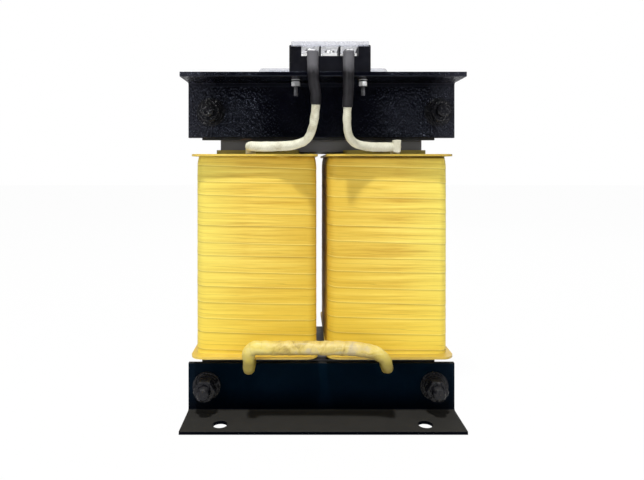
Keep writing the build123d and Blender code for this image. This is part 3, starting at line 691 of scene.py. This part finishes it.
def taped_coil(side, seed):
    """One long tape, wound upwards clockwise, each turn lapping the one below."""
    wrap = f"{side}_coil_wrap"
    low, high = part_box(wrap)
    centre = (low + high) / 2
    half_x = (high.x - low.x) / 2 - TAPE_LAP - CROWN_X
    half_y = (high.y - low.y) / 2 - TAPE_LAP - CROWN_Y
    outline = list(reversed(coil_outline(half_x, half_y)))
    count = len(outline)
    pitch = (high.z - low.z) / TURNS

    def edge(turn):
        """Height of the tape's lower edge after so many turns."""
        wander = 0.0
        for size, rate, place in EDGE_WANDER:
            wander += size * noise.noise(Vector((turn * rate, seed, place)))
        return low.z + (turn + wander) * pitch

    def reach(point, normal, z, out):
        """How far the tape lies outside the plain outline."""
        spot = Vector((point.x * 30, point.y * 30, z * 38 + seed))
        loose = Vector((point.x * 30, point.y * 30, z * 9 + seed))
        slack = SLACK * noise.noise(loose) + RIPPLE * noise.noise(spot * 3.7)
        near_top = min(1.0, max(0.0, 1 - (high.z - z) / SHOULDER_HEIGHT))
        tuck = SHOULDER_DRAW * near_top**2 * (0.3 + 0.7 * abs(normal.x))
        return TAPE_LAP * out * (0.9 + 0.3 * noise.noise(spot * 0.6)) + slack - tuck

    points, faces, laps = [], [], []
    rows = len(TAPE_PROFILE)
    for step in range(count * (TURNS + 2) + 1):
        point, normal = outline[step % count]
        turn = step / count - 1.0
        course = edge(turn + 1) - edge(turn)
        for share, out in TAPE_PROFILE:
            z = edge(turn) + share * course
            at = point + normal * reach(point, normal, z, out)
            z = min(max(z, low.z + END_GAP), high.z - END_GAP)
            points.append((centre.x + at.x, centre.y + at.y, z))
            laps.append(min(max(share, 0.0), 1.0))
        if step:
            first = (step - 1) * rows
            for row in range(rows - 1):
                a, b = first + row, first + row + rows
                faces.append((a, a + 1, b + 1, b))
    make_piece(f"{side}_taped_coil", points, faces, TAPE, [wrap], ("lap", laps))


# ---------------------------------------------------------------- leads and jumper

BRAID_STRANDS = 6
BRAID_PITCH = 5 / 3 * MM
SHRINK_RADIUS = 5.3 * MM
JUMPER_RADIUS = 5.3 * MM
JUMPER_LAPPED = 1.1 * MM  # thicker by this where it is lapped twice
LAPPED_FROM, LAPPED_OVER = 36 * MM, 16 * MM  # distance from its ends, and the length it takes
CURVE_RESOLUTION = 24
# Half sizes of the tape's fold, and its middle from the corner of the route.
FOLD_HALF = Vector((3.7, 4.8, 6.0)) * MM
FOLD_SHIFT = Vector((-0.9, -0.2, 0.4)) * MM


def smooth_line(route, name):
    """Points along the smooth spline that a route in millimetres controls."""
    curve = bpy.data.curves.new(name, "CURVE")
    curve.dimensions = "3D"
    spline = curve.splines.new("NURBS")
    spline.points.add(len(route) - 1)
    for point, place in zip(spline.points, route):
        point.co = (*(value * MM for value in place), 1.0)
    spline.order_u = 3
    spline.use_endpoint_u = True
    spline.resolution_u = CURVE_RESOLUTION
    carrier = bpy.data.objects.new(name, curve)
    mesh = bpy.data.meshes.new_from_object(carrier)
    line = [vertex.co.copy() for vertex in mesh.vertices]
    bpy.data.objects.remove(carrier)
    bpy.data.curves.remove(curve)
    bpy.data.meshes.remove(mesh)
    return line


def evenly(line, step):
    """The line again, with points a fixed step apart, and the distance along to each."""
    travelled = [0.0]
    for a, b in zip(line, line[1:]):
        travelled.append(travelled[-1] + (b - a).length)
    count = max(2, round(travelled[-1] / step))
    places, at = [], 0
    for i in range(count + 1):
        target = travelled[-1] * i / count
        while at < len(line) - 2 and travelled[at + 1] < target:
            at += 1
        span = travelled[at + 1] - travelled[at]
        share = (target - travelled[at]) / span if span else 0.0
        places.append((line[at].lerp(line[at + 1], share), target))
    return places


def make_tube(name, line, radius, material, replaced=(), around=28, step=0.6 * MM, layer=None):
    """A closed tube along a line. radius(travelled, angle, length) gives its surface,
    and a layer is a name and a function of the same three."""
    places = evenly(line, step)
    length = places[-1][1]
    side = Vector((0, 0, 1)).cross(places[1][0] - places[0][0])
    if side.length < 1e-6:
        side = Vector((1, 0, 0))
    points, values = [], []
    for i, (place, travelled) in enumerate(places):
        before, after = places[max(i - 1, 0)][0], places[min(i + 1, len(places) - 1)][0]
        forward = (after - before).normalized()
        side = (side - forward * side.dot(forward)).normalized()
        up = forward.cross(side)
        for k in range(around):
            angle = 2 * math.pi * k / around
            reach = radius(travelled, angle, length)
            points.append(place + (side * math.cos(angle) + up * math.sin(angle)) * reach)
            if layer:
                values.append(layer[1](travelled, angle, length))
    faces = ring_faces(len(places), around)
    faces.append(tuple(reversed(range(around))))
    last = (len(places) - 1) * around
    faces.append(tuple(last + k for k in range(around)))
    layer = (layer[0], values) if layer else None
    make_piece(name, points, faces, material, replaced, layer)


def braid(travelled, angle, length):
    """Crossing strands, one set each way round."""
    turned, run = BRAID_STRANDS * angle, 2 * math.pi * travelled / BRAID_PITCH
    return 0.5 + 0.25 * (math.sin(turned + run) + math.sin(turned - run))


def wrapped(pitch, lap, seed):
    """Radius offset and lap layer of a tape wound round a rod."""

    def share(travelled, angle, length):
        drift = 0.9 * noise.noise(Vector((travelled * 60, seed, 0.4 * math.sin(angle))))
        return (travelled / pitch + drift + angle / (2 * math.pi)) % 1.0

    def offset(travelled, angle, length):
        return lap * (1 - share(travelled, angle, length))

    return share, offset


def lump(travelled, angle, seed, size):
    """An uneven swelling of a tube's surface, up to about `size` each way."""
    spot = Vector((math.cos(angle) * 0.9, math.sin(angle) * 0.9, travelled * 170 + seed))
    return size * noise.noise(spot)


def make_lead(side, route, shrink_share, slim, stout):
    """A sleeve with two radii, the larger where it lies on the board, and its heat-shrink."""
    line = smooth_line(route, f"{side}_route")

    def sleeve(travelled, angle, length):
        lying = min(1.0, max(0.0, (travelled - 0.5 * length) / (0.3 * length)))
        ends = 0.9 + 0.1 * min(1.0, (length - travelled) / (2 * MM))
        creases = lump(travelled, angle, 2.0, 0.35 * MM)
        creases += lump(travelled * 3.1, angle, 5.0, 0.16 * MM)
        return (slim + (stout - slim) * lying + creases) * ends

    def shrink(travelled, angle, length):
        ends = min(travelled, length - travelled)
        tuck = 0.93 + 0.07 * min(1.0, ends / (1.2 * MM))
        full = SHRINK_RADIUS * (1.0 - 0.09 * travelled / length)
        return (full + lump(travelled, angle, 7.0, 0.35 * MM)) * tuck

    cut = int(len(line) * shrink_share)
    solids = [f"{side}_lead_sleeve"], [f"{side}_lead_heatshrink"]
    make_tube(f"{side}_sleeve", line, sleeve, SLEEVE, solids[0], layer=("braid", braid))
    make_tube(f"{side}_shrink", line[: cut + 1], shrink, SHRINK, solids[1])


def squared_fold(corner):
    """Tape folded square over the end of the right sleeve, round a corner of its route."""
    centre = Vector(corner) * MM + FOLD_SHIFT
    shape = bmesh.new()
    bmesh.ops.create_cube(shape, size=2.0)
    bmesh.ops.bevel(
        shape, geom=shape.edges[:], offset=0.3, segments=3, profile=0.6, affect="EDGES"
    )
    bmesh.ops.triangulate(shape, faces=shape.faces[:])
    bmesh.ops.subdivide_edges(shape, edges=shape.edges[:], cuts=5, use_grid_fill=True)
    shape.verts.index_update()
    points = []
    for vertex in shape.verts:
        unit = vertex.co.copy()
        sag = 1.0 + 0.1 * noise.noise(unit * 1.6 + Vector((4.0, 1.0, 7.0)))
        crease = 0.35 * MM * noise.noise(Vector((unit.x * 5.0, unit.y, unit.z * 1.2)))
        place = unit * FOLD_HALF * sag
        points.append(centre + place + place.normalized() * crease)
    faces = [[vertex.index for vertex in face.verts] for face in shape.faces]
    shape.free()
    make_piece("right_sleeve_fold", points, faces, SLEEVE)


def paint_run():
    """A run of paint that set on the front web above the left bolt, ending in a drop."""
    route = [
        (-93.0, -60.1, 325.0),
        (-93.6, -60.3, 321.0),
        (-93.8, -60.4, 317.0),
        (-95.2, -60.3, 314.6),
        (-97.0, -60.0, 314.2),
    ]

    def bead(travelled, angle, length):
        return (0.5 + 0.4 * travelled / length) * MM

    make_tube("paint_run", smooth_line(route, "run_route"), bead, UPPER_PAINT, around=12)


def make_leads():
    """The same route points as the CAD leads, in millimetres."""
    left = [
        (-9.9, -107.0, 352.0),
        (-9.9, -107.0, 328.0),
        (-6.6, -107.4, 312.0),
        (-7.2, -106.8, 299.0),
        (-9.2, -103.0, 283.5),
        (-14.0, -95.0, 271.2),
        (-27.0, -87.5, 266.4),
        (-50.0, -81.0, 265.6),
        (-70.0, -79.2, 266.0),
        (-70.0, -67.1, 266.0),
        (-70.0, -67.1, 256.5),
    ]
    right = [
        (22.9, -107.0, 352.0),
        (22.9, -107.0, 328.0),
        (22.6, -107.4, 312.0),
        (21.6, -106.8, 297.0),
        (21.6, -103.0, 283.5),
        (25.0, -95.0, 271.4),
        (36.0, -87.0, 265.8),
        (58.0, -81.0, 265.0),
        (72.4, -79.2, 265.4),
        (72.4, -67.1, 265.4),
        (72.4, -67.1, 256.5),
    ]
    make_lead("left", left, shrink_share=0.243, slim=3.9 * MM, stout=4.9 * MM)
    make_lead("right", right, shrink_share=0.252, slim=3.75 * MM, stout=4.6 * MM)
    squared_fold(right[8])  # where the sleeve turns back towards the coil


def make_jumper():
    """The taped bar between the feet of the coils, thicker where it is lapped twice."""
    route = [
        (-69.6, -67.1, 64.0),
        (-69.6, -67.1, 55.2),
        (-69.6, -94.0, 55.2),
        (-69.6, -94.0, 62.0),
        (-69.6, -94.0, 76.5),
        (-54.0, -94.0, 76.5),
        (-30.0, -94.0, 76.5),
        (34.2, -94.0, 76.5),
        (57.7, -94.0, 69.5),
        (61.2, -94.0, 55.2),
        (61.2, -67.1, 55.2),
        (61.2, -67.1, 64.0),
    ]
    line = smooth_line(route, "jumper_route")
    share, offset = wrapped(9.5 * MM, 0.22 * MM, 4.0)

    def radius(travelled, angle, length):
        ends = min(travelled, length - travelled)
        lapped = min(1.0, max(0.0, (ends - LAPPED_FROM) / LAPPED_OVER))
        body = JUMPER_RADIUS + JUMPER_LAPPED * lapped
        return body + offset(travelled, angle, length) + lump(travelled, angle, 5.0, 0.55 * MM)

    make_tube(
        "jumper_wrap",
        line,
        radius,
        JUMPER,
        ["jumper_tape"],
        around=40,
        step=0.5 * MM,
        layer=("lap", share),
    )


# ---------------------------------------------------------------- stage

FLOOR_REACH = 6.0
BACKDROP_GLOW = 0.97  # how much of the floor the camera sees as plain white
ROOM_LEVEL = (("From Min", -0.4), ("From Max", 0.9), ("To Min", 0.05), ("To Max", 0.48))
BACKWARD_SHARE = 0.8  # of the direction's Y in the room's shading, beside its Z


def white_stage():
    """A pale floor and backdrop that the camera sees as white, shadow kept."""
    f = Finish("studio_white", (0.82, 0.82, 0.82), 0.9, Specular_IOR_Level=0.1)
    f.bump(f.noise(3.0), 0.02, 1.0)
    glow = f.node("ShaderNodeEmission")
    blend = f.node("ShaderNodeMixShader")
    path = f.node("ShaderNodeLightPath")
    seen = f.maths("MAXIMUM", path.outputs["Is Camera Ray"], path.outputs["Is Transmission Ray"])
    f.link(f.times(seen, BACKDROP_GLOW), blend.inputs["Fac"])
    f.link(f.shader.outputs["BSDF"], blend.inputs[1])
    f.link(glow.outputs["Emission"], blend.inputs[2])
    f.link(blend.outputs["Shader"], f.tree.nodes["Material Output"].inputs["Surface"])
    return f.material


def make_stage():
    """One wide floor at the height of the object's feet."""
    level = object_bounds()[0].z
    signs = ((-1, -1), (1, -1), (1, 1), (-1, 1))
    corners = [(x * FLOOR_REACH, y * FLOOR_REACH, level) for x, y in signs]
    mesh = bpy.data.meshes.new("floor")
    mesh.from_pydata(corners, [], [(0, 1, 2, 3)])
    floor = place_in_scene("floor", mesh)
    give(floor, white_stage())


def area_light(name, place, target, size, power):
    data = bpy.data.lights.new(name, "AREA")
    data.shape = "DISK"
    data.size = size
    data.energy = power
    lamp = place_in_scene(name, data)
    lamp.location = place
    lamp.rotation_euler = (Vector(target) - Vector(place)).to_track_quat("-Z", "Y").to_euler()


def make_world():
    """A white room that is bright overhead and behind, and dim in front of the object."""
    world = bpy.data.worlds.new("studio")
    world.use_nodes = True
    bpy.context.scene.world = world
    tree = world.node_tree
    tree.nodes.clear()
    path = tree.nodes.new("ShaderNodeLightPath")
    direction = tree.nodes.new("ShaderNodeTexCoord")
    parts = tree.nodes.new("ShaderNodeSeparateXYZ")
    lean = tree.nodes.new("ShaderNodeMath")
    shade = tree.nodes.new("ShaderNodeMapRange")
    room = tree.nodes.new("ShaderNodeBackground")
    white = tree.nodes.new("ShaderNodeBackground")
    blend = tree.nodes.new("ShaderNodeMixShader")
    output = tree.nodes.new("ShaderNodeOutputWorld")
    lean.operation = "MULTIPLY_ADD"
    lean.inputs[1].default_value = BACKWARD_SHARE
    for name, value in ROOM_LEVEL:
        shade.inputs[name].default_value = value
    tree.links.new(direction.outputs["Generated"], parts.inputs[0])
    tree.links.new(parts.outputs["Y"], lean.inputs[0])
    tree.links.new(parts.outputs["Z"], lean.inputs[2])
    tree.links.new(lean.outputs["Value"], shade.inputs["Value"])
    tree.links.new(shade.outputs["Result"], room.inputs["Strength"])
    tree.links.new(path.outputs["Is Camera Ray"], blend.inputs["Fac"])
    tree.links.new(room.outputs["Background"], blend.inputs[1])
    tree.links.new(white.outputs["Background"], blend.inputs[2])
    tree.links.new(blend.outputs["Shader"], output.inputs["Surface"])
    for background in (room, white):
        background.inputs["Color"].default_value = WHITE
    white.inputs["Strength"].default_value = 1.0


def make_lights():
    """A steep key, a broad fill, a low lamp at each side for glints, and one behind."""
    middle = (0.0, 0.0, 0.18)
    area_light("key", (-0.15, -0.85, 2.0), middle, 0.16, 36.0)
    area_light("fill", (0.25, -1.6, 1.5), middle, 1.2, 4.2)
    area_light("glint_left", (-1.1, -1.5, 0.7), middle, 0.14, 5.0)
    area_light("glint_right", (1.2, -1.4, 0.75), middle, 0.14, 3.0)
    area_light("back", (0.5, 1.2, 1.2), middle, 1.0, 6.0)
    make_world()


def make_camera():
    """Level, straight at the front, a little left of the middle and at coil-top height."""
    data = bpy.data.cameras.new("camera")
    data.sensor_width = 36.0
    data.lens = 30.19
    data.shift_x = 0.0342
    data.shift_y = -0.1165
    camera = place_in_scene("camera", data)
    camera.location = (-0.0215, -0.6, 0.248)
    camera.rotation_euler = (math.radians(90), 0, 0)
    bpy.context.scene.camera = camera


def main():
    bpy.context.scene.view_settings.view_transform = "Standard"
    make_camera()
    make_lights()
    make_stage()
    dress_cad()
    taped_coil("left", seed=3.3)
    taped_coil("right", seed=15.0)
    make_leads()
    make_jumper()
    paint_run()


main()
